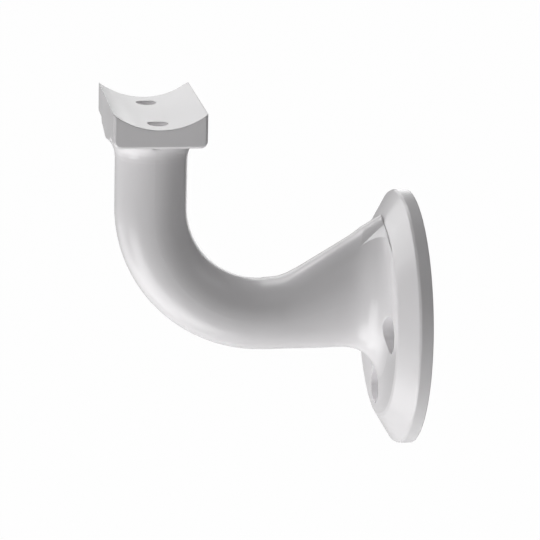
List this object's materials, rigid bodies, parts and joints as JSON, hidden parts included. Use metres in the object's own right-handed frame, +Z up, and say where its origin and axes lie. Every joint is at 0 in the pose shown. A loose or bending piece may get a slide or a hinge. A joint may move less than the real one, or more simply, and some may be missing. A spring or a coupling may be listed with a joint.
{
  "type": "handrail standoff bracket",
  "caption": "Cast handrail wall bracket: a round bevelled wall plate, an arm that flares from it and bends upward, and a concave saddle that carries a round rail.",
  "frame": {"origin": "centre of the wall plate's back face, on the wall", "axes": "+Z up, -Y away from the wall along the arm, X along the rail"},
  "size_m": [0.0734, 0.0879, 0.1014],
  "materials": {
    "white_coat": "satin powder coat"
  },
  "bodies": {
    "root": {"bracket": "white_coat"}
  },
  "joints": []
}
